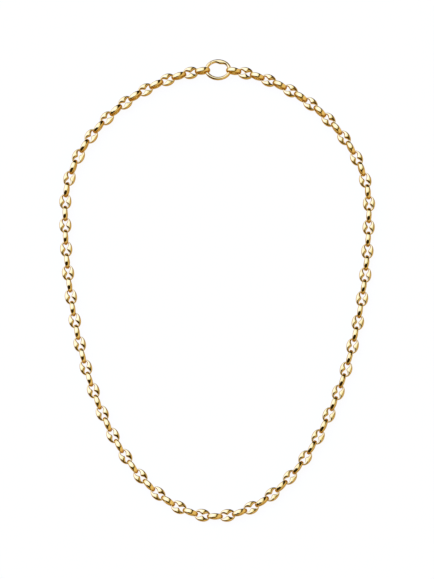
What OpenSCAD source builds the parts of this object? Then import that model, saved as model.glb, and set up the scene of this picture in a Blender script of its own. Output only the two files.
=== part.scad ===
// Necklace of puffed mariner links, lying flat as a closed loop, with an oval clasp ring.
// Every second link lies flat and the ones between stand on edge.
// Millimetres. The floor is z = 0, the loop lies in X and Y, and the clasp ring is at +Y.

/* [Link] */
// Length of a link from end to end
link_len = 5.96; // [5.94:0.02:6.1]
// Width of a link across its two lobes
link_w = 4.6; // [4.5:0.05:4.7]
// Greatest diameter of a puffed lobe
lobe_d = 1.9; // [1.7:0.05:1.9]
// Length of a lobe from point to point
lobe_len = 4.2; // [4.1:0.05:4.25]
// Thickness of the bow that joins the lobes at each end
bow_t = 0.5; // [0.44:0.02:0.5]
// Outer radius of a bow
bow_out_r = 2.05; // [2:0.01:2.1]
// Radius of the crowned inner and outer faces of a bow
bow_crown = 1.05; // [1:0.05:1.1]

/* [Chain] */
// Number of links, an odd number, so that both end links stand on edge
link_count = 97; // [81:2:121]
// Play between two links that hold each other
link_play = 0.32; // [0.3:0.01:0.36]
// Play between the clasp ring and the end links
ring_play = 0.22; // [0.2:0.01:0.24]
// How far a link may be rolled from flat or upright, in degrees
roll_sway = 1.5; // [0:0.5:4]

/* [Loop] */
// Height of the loop above its widest place, as a share of half its width
top_share = 0.918; // [0.8:0.002:1]
// Height of the loop below its widest place, as a share of half its width
bottom_share = 2.08; // [1.6:0.01:2.15]
// Fullness of the upper curve: 2 is an ellipse, and less comes to a point
top_fullness = 1.82; // [1.8:0.01:2]
// Lean of the loop about its widest place, in degrees
loop_lean = 0.4; // [0:0.1:1.5]

/* [Clasp ring] */
// Width of the oval ring outside
ring_w = 10.1; // [10:0.05:10.4]
// Height of the oval ring outside
ring_h = 8.35; // [8.2:0.05:8.5]
// Diameter of the ring's round wire
ring_wire = 1.32; // [1.2:0.02:1.32]
// How far the thumbnail lip stands in from the wire
lip_rise = 0.55; // [0.4:0.01:0.6]
// Length of the thumbnail lip
lip_len = 3; // [2.6:0.1:3.2]
// Distance of the lip from the middle of the ring
lip_x = 0.9; // [0:0.1:1.2]
// Diameter of the hinge pin
pin_d = 0.5; // [0.44:0.02:0.52]
// Thickness of the gate's tongue in the hinge
tongue_t = 0.46; // [0.4:0.02:0.48]

/* [Hidden] */
$fn = 48;
gold = "#d9ae55";

// Link, from its middle
link_r = link_w / 2;
lobe_r = lobe_d / 2;
lobe_x = link_r - lobe_r;
bow_mid_r = bow_out_r - bow_t / 2;
bow_y = link_len / 2 - bow_out_r;
pitch = link_len - 2 * bow_t - link_play;

// Ring: four arcs, whose centres and joints stand on triangles with sides 3, 4 and 5
wire_r = ring_wire / 2;
ring_a = (ring_w - ring_wire) / 2;
ring_b = (ring_h - ring_wire) / 2;
end_x = 1.5 * (ring_a - ring_b);
side_y = 2 * (ring_a - ring_b);
end_arc_r = ring_a - end_x;
side_arc_r = ring_b + side_y;
join_x = end_x + 0.6 * end_arc_r;
join_y = 0.8 * end_arc_r;
seam_gap = 0.08;

// Hinge of the gate, at the left joint of the arcs
running_gap = 0.05;
pin_gap = 0.02;
ear_r = wire_r - 0.04;
socket_r = wire_r + 0.06;
shoulder_r = socket_r + 0.04;
tongue_r = wire_r - 0.06;
pin_len = 1.2;
lip_r = 0.62;

// Loop: a unit outline, with half its width 1, in the size that the chain's length asks for
first_link = ring_a - wire_r - ring_play - bow_t + link_len / 2;
loop_len = (link_count - 1) * pitch + 2 * first_link;
steps = 720;
step = 360 / steps;
function signed_pow(v, p) = sign(v) * pow(abs(v), p);
function outline(t) =
    let (above = cos(t) > 0,
         p = above ? 2 / top_fullness : 1,
         x = -signed_pow(sin(t), p),
         y = (above ? top_share : bottom_share) * signed_pow(cos(t), p))
    [x * cos(loop_lean) + y * sin(loop_lean), y * cos(loop_lean) - x * sin(loop_lean)];
function step_len(i) = norm(outline((i + 1) * step) - outline(i * step));
arc_to_turn = [for (i = 0, s = 0; i <= steps; s = s + step_len(i), i = i + 1) [s, i * step]];
loop_half_w = loop_len / arc_to_turn[steps][0];
function on_loop(s) = loop_half_w * outline(lookup(s / loop_half_w, arc_to_turn));

// Place of each link's middle along the loop, and the shift that centres the whole, whose
// box ends at the flat links and the ring
function along(k) = first_link + k * pitch;
middles = [for (k = [0 : link_count - 1]) on_loop(along(k))];
flat_xs = [for (k = [1 : 2 : link_count - 2]) middles[k][0]];
flat_ys = [for (k = [1 : 2 : link_count - 2]) middles[k][1]];
shift_x = -(max(flat_xs) + min(flat_xs)) / 2;
shift_y = -(on_loop(0)[1] + ring_h / 2 + min(flat_ys) - link_r) / 2;
function sway(k) = k == 0 || k == link_count - 1 ? 0 : roll_sway * sin(137 * k);
last_left = floor(link_count / 2);

// A lemon-shaped body along Y
module lemon(len, r) {
    side_r = (pow(len / 2, 2) + pow(r, 2)) / (2 * r);
    rotate([90, 0, 0]) rotate_extrude() intersection() {
        translate([r - side_r, 0]) circle(r = side_r);
        translate([0, -len / 2]) square([r, len]);
    }
}

// Half a ring of crowned band, open towards -Y
module bow() {
    translate([0, bow_y, 0]) rotate_extrude(angle = 180) intersection() {
        translate([bow_mid_r + bow_t / 2 - bow_crown, 0]) circle(r = bow_crown);
        translate([bow_mid_r - bow_t / 2 + bow_crown, 0]) circle(r = bow_crown);
    }
}

// One link, flat, with its length along Y: two puffed lobes, and a bow at each end
module link() {
    translate([-lobe_x, 0, 0]) lemon(lobe_len, lobe_r);
    translate([lobe_x, 0, 0]) lemon(lobe_len, lobe_r);
    bow();
    rotate([0, 0, 180]) bow();
}

module placed_link(k) {
    ahead = on_loop(along(k) + pitch / 2) - on_loop(along(k) - pitch / 2);
    upright = k % 2 == 0 ? 90 : 0;
    translate([middles[k][0] + shift_x, middles[k][1] + shift_y, link_r])
        rotate([0, 0, atan2(ahead[1], ahead[0]) - 90])
            rotate([0, upright + sway(k), 0]) link();
}

module chain_left() {
    color(gold) for (k = [0 : last_left]) placed_link(k);
}

module chain_right() {
    color(gold) for (k = [last_left + 1 : link_count - 1]) placed_link(k);
}

// The part of a ring of wire, about the centre, that lies between two spokes from it
module arc(centre, r, spoke_a, spoke_b) {
    translate(centre) intersection() {
        rotate_extrude() translate([r, 0]) circle(r = wire_r);
        linear_extrude(height = 2 * ring_wire, center = true) polygon([[0, 0], spoke_a, spoke_b]);
    }
}

module upper_arc() {
    arc([0, -side_y, 0], side_arc_r, [9, 12], [-9, 12]);
}

module at_ring() {
    translate([on_loop(0)[0] + shift_x, on_loop(0)[1] + shift_y, link_r]) children();
}

module at_hinge(r, h) {
    translate([-join_x, join_y, 0]) cylinder(r = r, h = h, center = true);
}

// The ring without its upper arc, ending in two ears at the hinge
module clasp_frame() {
    color(gold) at_ring() difference() {
        union() {
            arc([end_x, 0, 0], end_arc_r, [9, -12], [9, 12]);
            arc([-end_x, 0, 0], end_arc_r, [-9, 12], [-9, -12]);
            arc([0, side_y, 0], side_arc_r, [-9, -12], [9, -12]);
            intersection() {
                upper_arc();
                at_hinge(ear_r, 2 * ring_wire);
            }
        }
        at_hinge(socket_r, tongue_t + 2 * running_gap);
        at_hinge(pin_d / 2 + pin_gap, 2 * ring_wire);
    }
}

// A slice at the right joint of the arcs, which leaves the seam open
module seam() {
    translate([0, -side_y, 0]) rotate([0, 0, atan2(4, 3)])
        translate([side_arc_r - ring_wire, -1, -ring_wire])
            cube([2 * ring_wire, 1 + seam_gap, 2 * ring_wire]);
}

module thumbnail_lip() {
    translate([0, -side_y, 0]) rotate([0, 0, -asin(lip_x / side_arc_r)])
        translate([0, side_arc_r - wire_r - lip_rise + lip_r, 0])
            rotate([0, 0, 90]) lemon(lip_len, lip_r);
}

// The upper arc, which swings outward about the pin
module clasp_gate() {
    color(gold) at_ring() difference() {
        union() {
            difference() {
                union() {
                    upper_arc();
                    thumbnail_lip();
                }
                at_hinge(shoulder_r, 2 * ring_wire);
                seam();
            }
            intersection() {
                upper_arc();
                at_hinge(shoulder_r + 0.2, tongue_t);
            }
            at_hinge(tongue_r, tongue_t);
        }
        at_hinge(pin_d / 2 + running_gap, 2 * ring_wire);
    }
}

module clasp_pin() {
    color(gold) at_ring() at_hinge(pin_d / 2, pin_len);
}

chain_left();
chain_right();
clasp_frame();
clasp_gate();
clasp_pin();
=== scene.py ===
import math

import bmesh
import bpy
import numpy as np
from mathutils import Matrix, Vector


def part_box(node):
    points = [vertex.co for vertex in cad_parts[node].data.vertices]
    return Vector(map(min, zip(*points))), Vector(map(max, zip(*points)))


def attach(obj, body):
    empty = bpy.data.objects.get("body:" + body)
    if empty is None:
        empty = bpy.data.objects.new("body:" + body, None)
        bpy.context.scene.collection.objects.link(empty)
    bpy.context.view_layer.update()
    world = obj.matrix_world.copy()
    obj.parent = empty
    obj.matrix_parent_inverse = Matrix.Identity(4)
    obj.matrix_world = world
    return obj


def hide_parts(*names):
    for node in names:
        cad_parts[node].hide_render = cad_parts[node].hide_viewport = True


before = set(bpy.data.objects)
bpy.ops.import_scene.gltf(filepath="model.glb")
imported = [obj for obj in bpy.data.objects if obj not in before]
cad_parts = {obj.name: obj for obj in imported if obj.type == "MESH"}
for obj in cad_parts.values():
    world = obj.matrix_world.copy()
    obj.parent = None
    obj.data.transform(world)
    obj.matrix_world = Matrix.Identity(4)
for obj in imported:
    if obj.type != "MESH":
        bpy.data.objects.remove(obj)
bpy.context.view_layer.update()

# A necklace of puffed mariner links with an oval clasp ring, lying on a pale table and
# seen from above, a little from its lower end. +Y is up in the picture. All lengths are
# in metres.
mm = 0.001
scene = bpy.context.scene
scene.view_settings.view_transform = "Standard"


def newPiece(name, verts, faces, material):
    mesh = bpy.data.meshes.new(name)
    mesh.from_pydata([tuple(v) for v in verts], [], [tuple(int(i) for i in f) for f in faces])
    mesh.shade_smooth()
    mesh.materials.append(material)
    piece = bpy.data.objects.new(name, mesh)
    scene.collection.objects.link(piece)
    return piece


def ringFaces(rows, columns, closed):
    # quads of a grid whose columns run round; the rows join up too where it is closed
    row = np.arange(rows if closed else rows - 1)[:, None]
    column = np.arange(columns)[None, :]
    nextRow = (row + 1) % rows
    nextColumn = (column + 1) % columns
    corners = (row * columns + column, nextRow * columns + column,
               nextRow * columns + nextColumn, row * columns + nextColumn)
    return np.stack([np.broadcast_to(c, (len(row), columns)).ravel() for c in corners], axis=1)


def roundedPower(value, fullness):
    # a sine or cosine bent so that a circle turns into a fuller, squarer oval
    return np.sign(value) * np.abs(value) ** (2 / fullness)


# Materials
goldLook = {
    "colour": (0.81, 0.54, 0.17, 1),      # polished yellow gold
    "deepColour": (0.77, 0.49, 0.14, 1),  # where the alloy is a little redder
    "edgeColour": (1, 0.82, 0.45, 1),     # keeps its warmth where it is seen edge on
    "cloudSize": 2.4 * mm,                # soft changes of tone
    "cloudDetail": 2,
    "gloss": (0.035, 0.11),               # roughness, from freshly buffed to handled
    "glossSize": 0.8 * mm,
    "glossDetail": 4,
    "scratchSize": 0.22 * mm,             # hairlines left by the buffing wheel
    "scratchDepth": 0.0006 * mm,
    "rippleSize": 1.1 * mm,               # the sheet's own slight unevenness
    "rippleDepth": 0.004 * mm,
    "reliefDetail": 3,
    "noiseRange": (0.3, 0.7),             # where most of a noise's values lie
}


def polishedGold(name, look, hairlineScale):
    material = bpy.data.materials.new(name)
    material.use_nodes = True
    nodes, links = material.node_tree.nodes, material.node_tree.links
    shader = nodes["Principled BSDF"]
    shader.inputs["Metallic"].default_value = 1
    shader.inputs["Specular Tint"].default_value = look["edgeColour"]
    place = nodes.new("ShaderNodeTexCoord").outputs["Object"]

    def noise(size, detail, source=place):
        texture = nodes.new("ShaderNodeTexNoise")
        texture.inputs["Scale"].default_value = 1 / size
        texture.inputs["Detail"].default_value = detail
        links.new(source, texture.inputs["Vector"])
        return texture.outputs["Fac"]

    def spread(source, low, high):
        # noise stretched so that it runs from low to high
        node = nodes.new("ShaderNodeMapRange")
        ends = (*look["noiseRange"], low, high)
        for socket, value in zip(("From Min", "From Max", "To Min", "To Max"), ends):
            node.inputs[socket].default_value = value
        links.new(source, node.inputs["Value"])
        return node.outputs["Result"]

    tone = nodes.new("ShaderNodeMix")
    tone.data_type = "RGBA"
    tone.inputs["A"].default_value = look["colour"]
    tone.inputs["B"].default_value = look["deepColour"]
    clouds = noise(look["cloudSize"], look["cloudDetail"])
    links.new(spread(clouds, 0, 1), tone.inputs["Factor"])
    links.new(tone.outputs["Result"], shader.inputs["Base Color"])
    handling = noise(look["glossSize"], look["glossDetail"])
    links.new(spread(handling, *look["gloss"]), shader.inputs["Roughness"])

    stretch = nodes.new("ShaderNodeMapping")
    stretch.inputs["Scale"].default_value = hairlineScale
    links.new(place, stretch.inputs["Vector"])
    ripples = (look["rippleSize"], look["rippleDepth"], place)
    scratches = (look["scratchSize"], look["scratchDepth"], stretch.outputs["Vector"])
    relief = None
    for size, depth, source in (ripples, scratches):
        bump = nodes.new("ShaderNodeBump")
        bump.inputs["Strength"].default_value = 1
        bump.inputs["Distance"].default_value = depth
        links.new(noise(size, look["reliefDetail"], source), bump.inputs["Height"])
        if relief:
            links.new(relief, bump.inputs["Normal"])
        relief = bump.outputs["Normal"]
    links.new(relief, shader.inputs["Normal"])
    return material


# the hairlines are six times finer along Y on the chain, and along X on the ring
chainGold = polishedGold("chainGold", goldLook, (1, 6, 1))
ringGold = polishedGold("ringGold", goldLook, (6, 1, 1))
print("gold ready")

# The link: a band swept round an oval, thin at its two bows and swollen into a puffed
# lobe on each side. Shares are of the real link's width, which comes from the frame.
link = {
    "outlineFullness": 2.12,   # 2 is an ellipse
    "bowThick": 0.118,
    "bowHigh": 0.25,
    "bowFullness": 2.6,        # squareness of the bow's section
    "lobeThick": 0.45,
    "lobeHigh": 0.43,
    "lobeFullness": 4,         # squareness of a lobe's section
    "lobeEnd": 0.985,          # how far along half the link a lobe runs
    "thickTaper": 2,           # how quickly it runs out across the link
    "highTaper": 1.5,          # and in its height
    "fullnessTaper": 0.6,      # and in its squareness
    "around": 60,              # sections round the link
    "across": 32,              # points round a section
    "endPower": 24,            # how strongly the farthest points show a CAD link's length
}


def linkShape(halfLong, halfWide):
    # points of one link, flat, with its length along Y; a row for each section
    wide = 2 * halfWide
    turn = np.linspace(0, 2 * math.pi, link["around"], endpoint=False)
    outer = np.stack([halfWide * roundedPower(np.cos(turn), link["outlineFullness"]),
                      halfLong * roundedPower(np.sin(turn), link["outlineFullness"])], axis=1)
    inward = np.stack([outer[:, 0] / halfWide ** 2, outer[:, 1] / halfLong ** 2], axis=1)
    inward /= -np.linalg.norm(inward, axis=1, keepdims=True)
    along = np.clip(np.abs(outer[:, 1]) / (halfLong * link["lobeEnd"]), 0, 1)

    def blended(atBow, atLobe, taper):
        lobe = (1 - along ** 2) ** link[taper]
        return (link[atBow] + (link[atLobe] - link[atBow]) * lobe)[:, None]

    thick = wide * blended("bowThick", "lobeThick", "thickTaper")
    high = wide * blended("bowHigh", "lobeHigh", "highTaper")
    fullness = blended("bowFullness", "lobeFullness", "fullnessTaper")
    section = np.linspace(0, 2 * math.pi, link["across"], endpoint=False)[None, :]
    depth = thick / 2 * (1 - roundedPower(np.cos(section), fullness))
    rise = high / 2 * roundedPower(np.sin(section), fullness)
    flat = outer[:, None, :] + inward[:, None, :] * depth[:, :, None]
    return np.concatenate([flat, rise[:, :, None]], axis=2).reshape(-1, 3)


def looseSolids(node):
    # the triangles of each loose solid of a CAD node
    mesh = node.data
    mesh.calc_loop_triangles()
    points = np.empty(len(mesh.vertices) * 3)
    mesh.vertices.foreach_get("co", points)
    corners = np.empty(len(mesh.loop_triangles) * 3, np.int32)
    mesh.loop_triangles.foreach_get("vertices", corners)
    points, welded = np.unique(points.reshape(-1, 3), axis=0, return_inverse=True)
    triangles = welded.ravel()[corners.reshape(-1, 3)]
    owner = np.arange(len(points))
    while True:
        lowest = owner.copy()
        np.minimum.at(lowest, triangles.ravel(), np.repeat(owner[triangles].min(axis=1), 3))
        lowest = lowest[lowest]
        if (lowest == owner).all():
            break
        owner = lowest
    owners = owner[triangles[:, 0]]
    return [points[triangles[owners == o]] for o in np.unique(owners)]


def linkPlace(solid):
    # middle, length, width and thickness directions of a CAD link, and its half sizes
    middle = (solid.max(axis=(0, 1)) + solid.min(axis=(0, 1))) / 2
    a, b, c = np.moveaxis(solid - middle, 1, 0)
    volume = np.einsum("ij,ij->i", a, np.cross(b, c)) / 6
    middle = middle + ((a + b + c) / 4 * volume[:, None]).sum(axis=0) / volume.sum()
    arms = solid.mean(axis=1) - middle
    area = np.linalg.norm(np.cross(b - a, c - a), axis=1)
    normal = np.linalg.eigh((arms * area[:, None]).T @ arms)[1][:, 0]
    # the two ends are farthest out, so a high power of the distance finds them
    distance = np.linalg.norm(arms, axis=1)
    reach = area * (distance / distance.max()) ** link["endPower"]
    long = np.linalg.eigh((arms * reach[:, None]).T @ arms)[1][:, 2]
    long -= normal * (long @ normal)
    long /= np.linalg.norm(long)
    wide = np.cross(long, normal)
    corners = solid.reshape(-1, 3) - middle
    return middle, long, wide, normal, np.abs(corners @ long).max(), np.abs(corners @ wide).max()


def chain(name, node):
    places = [linkPlace(solid) for solid in looseSolids(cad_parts[node])]
    halfLong = float(np.median([p[4] for p in places]))
    halfWide = float(np.median([p[5] for p in places]))
    shape = linkShape(halfLong, halfWide)
    faces = ringFaces(link["around"], link["across"], closed=True)
    verts = [p[0] + shape @ np.array([p[2], p[1], p[3]]) for p in places]
    quads = [faces + i * len(shape) for i in range(len(places))]
    piece = newPiece(name, np.concatenate(verts), np.concatenate(quads), chainGold)
    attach(piece, "necklace")
    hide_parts(node)
    sizes = [round(2 * half / mm, 2) for half in (halfLong, halfWide)]
    print(name, "of", len(places), "links,", *sizes, "mm")


chain("chainLeft", "chain_left")
chain("chainRight", "chain_right")

# The clasp ring: four arcs of round wire, whose sizes come from the frame's boxes
ringLow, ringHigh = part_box("clasp_frame")
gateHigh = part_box("clasp_gate")[1]
pinLow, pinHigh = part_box("clasp_pin")
wireRadius = (ringHigh[2] - ringLow[2]) / 2
ringMiddle = Vector(((ringLow[0] + ringHigh[0]) / 2, (ringLow[1] + gateHigh[1]) / 2,
                     (ringLow[2] + ringHigh[2]) / 2))
halfWide = (ringHigh[0] - ringLow[0]) / 2 - wireRadius
halfHigh = (gateHigh[1] - ringLow[1]) / 2 - wireRadius
endShift = 1.5 * (halfWide - halfHigh)     # the arcs' centres stand off the ring's middle
sideShift = 2 * (halfWide - halfHigh)
endRadius = halfWide - endShift
sideRadius = halfHigh + sideShift
joinTurn = math.degrees(math.atan2(4, 3))  # the arcs meet on spokes that rise 4 in 3
hinge = Vector(((pinLow[0] + pinHigh[0]) / 2, (pinLow[1] + pinHigh[1]) / 2, ringMiddle.z))

clasp = {
    "seamGap": 0.08 * mm,
    "earRadius": wireRadius - 0.04 * mm,
    "frameBore": 0.27 * mm,
    "slotRadius": wireRadius + 0.06 * mm,
    "slotHigh": 0.56 * mm,
    "shoulderRadius": wireRadius + 0.1 * mm,
    "tongueRadius": wireRadius - 0.06 * mm,
    "tongueHigh": 0.46 * mm,
    "tongueRoot": 1.2 * mm,    # how far from the hinge the tongue starts inside the gate
    "tongueFullness": 7,       # a flat strip with rounded edges
    "gateBore": 0.3 * mm,
    "lipRise": 0.5 * mm,
    "lipLong": 4.4 * mm,
    "lipFromMiddle": 0.9 * mm,
    "lipFullness": 3.2,        # squareness of its section
    "edgeRounding": 0.03 * mm,
    "edgeSteps": 2,
    "sharpAngle": 40,          # in degrees; blunter edges are shaded smooth
    "leastHalf": 0.02 * mm,    # what is left of the wire where a rounded end closes
    "endShare": 0.999,         # how much of a rounded end is swept
    "around": 56,              # points round a section
    "perTurn": 220,            # sections for a full turn of an arc
    "discSides": 96,
}
throughWire = 4 * wireRadius   # length of a cut that goes right through


def arcStations(centre, radius, start, end):
    # places along an arc and the outward directions there, for angles in degrees
    count = max(2, round(clasp["perTurn"] * abs(end - start) / 360) + 1)
    turns = np.radians(np.linspace(start, end, count))
    outward = np.stack([np.cos(turns), np.sin(turns)], axis=1)
    return np.array(centre) + radius * outward, outward


def upperArc(fromHinge, toHinge):
    # stations of the upper arc between two lengths from the hinge, less than 0 lying beyond it
    hingeTurn = 180 - joinTurn
    turns = [hingeTurn - math.degrees(length / sideRadius) for length in (fromHinge, toHinge)]
    return arcStations((0, -sideShift), sideRadius, *turns)


def joined(*stretches):
    # arcs one after another, each leaving out the station that it shares with the one before
    return [np.concatenate([s[part][(i > 0):] for i, s in enumerate(stretches)]) for part in (0, 1)]


def sweptWire(name, stations, section):
    # a closed piece; section(place, turn) gives sideways and upward offsets round the wire
    turn = np.linspace(0, 2 * math.pi, clasp["around"], endpoint=False)
    rows = []
    for place, outward in zip(*stations):
        sideways, rise = section(place, turn)
        rows.append(np.column_stack([place + sideways[:, None] * outward, rise]))
    verts = np.concatenate(rows) + np.array(ringMiddle)
    last = (len(rows) - 1) * clasp["around"]
    firstCap = range(clasp["around"])
    lastCap = range(last, last + clasp["around"])
    faces = [*ringFaces(len(rows), clasp["around"], closed=False), firstCap, lastCap]
    piece = newPiece(name, verts, faces, ringGold)
    work = bmesh.new()
    work.from_mesh(piece.data)
    bmesh.ops.recalc_face_normals(work, faces=work.faces)
    work.to_mesh(piece.data)
    work.free()
    return piece


def beyondHinge(place):
    # how far a place lies beyond the hinge, along the arc's direction there
    offset = np.array(place) - np.array((hinge - ringMiddle)[:2])
    onward = np.array([-math.sin(math.radians(joinTurn)), -math.cos(math.radians(joinTurn))])
    return float(offset @ onward)


def roundEnd(radius, beyond):
    # half the width of a wire that is rounded off about the pin
    return math.sqrt(max(radius ** 2 - max(beyond, 0) ** 2, clasp["leastHalf"] ** 2))


def frameWire(place, turn):
    # round wire whose end is rounded off about the pin
    sideways = wireRadius * np.cos(turn)
    if place[0] < 0 < place[1] and beyondHinge(place) < 0:
        limit = roundEnd(clasp["earRadius"], -beyondHinge(place))
        sideways = np.clip(sideways, -limit, limit)
    return sideways, wireRadius * np.sin(turn)


def gateWire(place, turn):
    # the wire swells inward into the thumbnail lip
    offset = (place[0] - clasp["lipFromMiddle"]) / (clasp["lipLong"] / 2)
    lip = max(0, 1 - offset ** 2) ** 2
    fullness = np.where(np.cos(turn) < 0, 2 + lip * (clasp["lipFullness"] - 2), 2)
    reach = np.where(np.cos(turn) < 0, wireRadius + lip * clasp["lipRise"], wireRadius)
    return (reach * roundedPower(np.cos(turn), fullness),
            wireRadius * roundedPower(np.sin(turn), fullness))


def tongue(place, turn):
    # a flat strip, rounded off about the pin too
    limit = roundEnd(clasp["tongueRadius"], beyondHinge(place))
    fullness = clasp["tongueFullness"]
    return (limit * roundedPower(np.cos(turn), fullness),
            clasp["tongueHigh"] / 2 * roundedPower(np.sin(turn), fullness))


def disc(radius, high):
    # a closed cylinder about the hinge's axis
    work = bmesh.new()
    bmesh.ops.create_cone(work, cap_ends=True, segments=clasp["discSides"],
                          radius1=radius, radius2=radius, depth=high)
    bmesh.ops.translate(work, verts=work.verts, vec=hinge)
    mesh = bpy.data.meshes.new("disc")
    work.to_mesh(mesh)
    work.free()
    mesh.materials.append(ringGold)
    tool = bpy.data.objects.new("disc", mesh)
    scene.collection.objects.link(tool)
    return tool


def settle(piece):
    # the modifiers' result becomes the piece's own mesh
    done = piece.evaluated_get(bpy.context.evaluated_depsgraph_get())
    mesh = bpy.data.meshes.new_from_object(done)
    piece.modifiers.clear()
    piece.data = mesh


def combine(piece, tool, operation):
    change = piece.modifiers.new("combine", "BOOLEAN")
    change.operation = operation
    change.solver = "EXACT"
    change.object = tool
    settle(piece)
    bpy.data.objects.remove(tool)


def finishEdges(piece):
    # small rounding on the machined edges, and smooth shading between them
    bevel = piece.modifiers.new("edges", "BEVEL")
    bevel.limit_method = "ANGLE"
    bevel.angle_limit = math.radians(clasp["sharpAngle"])
    bevel.width = clasp["edgeRounding"]
    bevel.segments = clasp["edgeSteps"]
    settle(piece)
    piece.data.shade_smooth()
    piece.data.set_sharp_from_angle(angle=math.radians(clasp["sharpAngle"]))


def claimed(piece, body, node):
    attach(piece, body)
    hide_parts(node)
    print(piece.name, len(piece.data.polygons), "faces")


def claspFrame():
    # from the seam round the right end, along the lower arc and up the left end to the ears
    route = joined(
        arcStations((endShift, 0), endRadius, joinTurn, -joinTurn),
        arcStations((0, sideShift), sideRadius, -joinTurn, joinTurn - 180),
        arcStations((-endShift, 0), endRadius, 180 + joinTurn, 180 - joinTurn),
        upperArc(0, clasp["earRadius"] * clasp["endShare"]))
    piece = sweptWire("claspFrame", route, frameWire)
    combine(piece, disc(clasp["slotRadius"], clasp["slotHigh"]), "DIFFERENCE")
    combine(piece, disc(clasp["frameBore"], throughWire), "DIFFERENCE")
    finishEdges(piece)
    claimed(piece, "necklace", "clasp_frame")


def claspGate():
    # the upper arc from the seam to the shoulder, and the tongue that goes between the ears
    whole = math.radians(180 - 2 * joinTurn) * sideRadius
    piece = sweptWire("claspGate", upperArc(whole - clasp["seamGap"], 0), gateWire)
    combine(piece, disc(clasp["shoulderRadius"], throughWire), "DIFFERENCE")
    tip = -clasp["tongueRadius"] * clasp["endShare"]
    combine(piece, sweptWire("tongue", upperArc(clasp["tongueRoot"], tip), tongue), "UNION")
    combine(piece, disc(clasp["gateBore"], throughWire), "DIFFERENCE")
    finishEdges(piece)
    claimed(piece, "gate", "clasp_gate")


def claspPin():
    piece = disc((pinHigh[0] - pinLow[0]) / 2, pinHigh[2] - pinLow[2])
    piece.name = "claspPin"
    finishEdges(piece)
    claimed(piece, "necklace", "clasp_pin")


claspFrame()
claspGate()
claspPin()

# The table, the light and the camera
studio = {
    "tableWide": 8,
    "tableDrop": 0.02 * mm,         # how far it lies under the links
    "tableTone": 0.08,              # how much of the light from above it gives back
    "tableGlow": 0.94,              # a light table of white acrylic
    "roomHigh": (0.98, 0.94, 0.8),  # warm walls above the table
    "roomLow": (0.58, 0.47, 0.25),  # and from the table's edge down
    "roomFade": (0.55, -0.15),      # heights between which the one turns into the other
    "horizon": (-0.02, 0.06),       # heights between which the cards overhead begin
    "cardHigh": 1000,               # so tall that only a card's place in plan counts
}
# Soft boxes and black cards overhead, each an oval on the sky's disc: its middle, its half
# sizes, its turn in degrees, the softness of its edge, and its light
overhead = {
    "surround": ((-0.36, 0.2), (1.0, 0.78), 52, 0.15, (0.14, 0.11, 0.055)),
    "softBox": ((-0.42, 0.22), (0.86, 0.57), 52, 0.12, (1.14, 1.4, 1.6)),
    "boxMiddle": ((-0.42, 0.26), (0.66, 0.42), 52, 0.45, (1.45, 2, 5)),
    "nearCard": ((-0.22, -0.5), (0.44, 0.43), 4, 0.12, (0.03, 0.022, 0.008)),
    "rightCard": ((0.44, 0.6), (0.19, 0.34), -18, 0.25, (0.04, 0.03, 0.012)),
    "leftCard": ((-0.62, -0.62), (0.46, 0.28), -42, 0.2, (0.04, 0.03, 0.012)),
}
# A dark wall beyond the table's upper edge, which goes on below it
farWall = ((0.12, 0.97), (0.68, 0.17), -8, 0.15, (0.03, 0.022, 0.008))


def table():
    half = studio["tableWide"] / 2
    sides = ((-half, -half), (half, -half), (half, half), (-half, half))
    corners = [(x, y, -studio["tableDrop"]) for x, y in sides]
    material = bpy.data.materials.new("paleTable")
    material.use_nodes = True
    shader = material.node_tree.nodes["Principled BSDF"]
    shader.inputs["Base Color"].default_value = (studio["tableTone"],) * 3 + (1,)
    shader.inputs["Roughness"].default_value = 1
    shader.inputs["Specular IOR Level"].default_value = 0
    shader.inputs["Emission Color"].default_value = (1, 1, 1, 1)
    shader.inputs["Emission Strength"].default_value = studio["tableGlow"]
    top = newPiece("table", corners, [(0, 1, 2, 3)], material)
    top.visible_glossy = False    # the metal mirrors the room's low light instead


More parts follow.
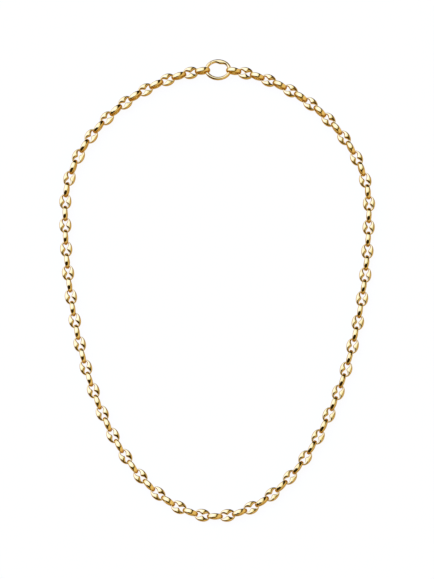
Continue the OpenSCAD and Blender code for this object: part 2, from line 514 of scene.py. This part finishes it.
def roomLight():
    world = bpy.data.worlds.new("studio")
    scene.world = world
    world.use_nodes = True
    nodes, links = world.node_tree.nodes, world.node_tree.links
    direction = nodes.new("ShaderNodeTexCoord").outputs["Generated"]

    def stepped(value, start, end):
        node = nodes.new("ShaderNodeMapRange")
        node.interpolation_type = "SMOOTHSTEP"
        node.inputs["From Min"].default_value = start
        node.inputs["From Max"].default_value = end
        links.new(value, node.inputs["Value"])
        return node.outputs["Result"]

    def mixed(factor, before, after):
        node = nodes.new("ShaderNodeMix")
        node.data_type = "RGBA"
        links.new(factor, node.inputs["Factor"])
        for socket, tone in ((node.inputs["A"], before), (node.inputs["B"], after)):
            if isinstance(tone, tuple):
                socket.default_value = (*tone, 1)
            else:
                links.new(tone, socket)
        return node.outputs["Result"]

    def hung(card, behind):
        middle, half, turn, softness, light = card
        oval = nodes.new("ShaderNodeMapping")
        oval.vector_type = "TEXTURE"
        oval.inputs["Location"].default_value = (*middle, 0)
        oval.inputs["Rotation"].default_value = (0, 0, math.radians(turn))
        oval.inputs["Scale"].default_value = (*half, studio["cardHigh"])
        links.new(direction, oval.inputs["Vector"])
        outward = nodes.new("ShaderNodeVectorMath")
        outward.operation = "LENGTH"
        links.new(oval.outputs["Vector"], outward.inputs[0])
        return mixed(stepped(outward.outputs["Value"], 1 + softness, 1 - softness), behind, light)

    toward = nodes.new("ShaderNodeSeparateXYZ")
    links.new(direction, toward.inputs["Vector"])
    falling = stepped(toward.outputs["Z"], *studio["roomFade"])
    tone = mixed(falling, studio["roomHigh"], studio["roomLow"])
    for card in overhead.values():
        tone = hung(card, tone)
    above = stepped(toward.outputs["Z"], *studio["horizon"])
    tone = hung(farWall, mixed(above, studio["roomLow"], tone))
    links.new(tone, nodes["Background"].inputs["Color"])


view = {
    "perPixel": 0.3766 * mm,      # at the target
    "imageHigh": 579,
    "target": (-0.06 * mm, -1.18 * mm, 2.3 * mm),
    "distance": 1.15,
    "lean": 13,                   # degrees off the vertical, towards the loop's lower end
    "sensor": 36,
    "nearest": 0.01,
    "farthest": 20,
}


def camera():
    settings = bpy.data.cameras.new("camera")
    settings.sensor_width = view["sensor"]
    settings.lens = view["sensor"] * view["distance"] / (view["perPixel"] * view["imageHigh"])
    settings.clip_start = view["nearest"]
    settings.clip_end = view["farthest"]
    lean = math.radians(view["lean"])
    seenFrom = bpy.data.objects.new("camera", settings)
    back = Vector((0, -math.sin(lean), math.cos(lean)))
    seenFrom.location = Vector(view["target"]) + view["distance"] * back
    seenFrom.rotation_euler = (lean, 0, 0)
    scene.collection.objects.link(seenFrom)
    scene.camera = seenFrom


table()
roomLight()
camera()
print("studio ready")
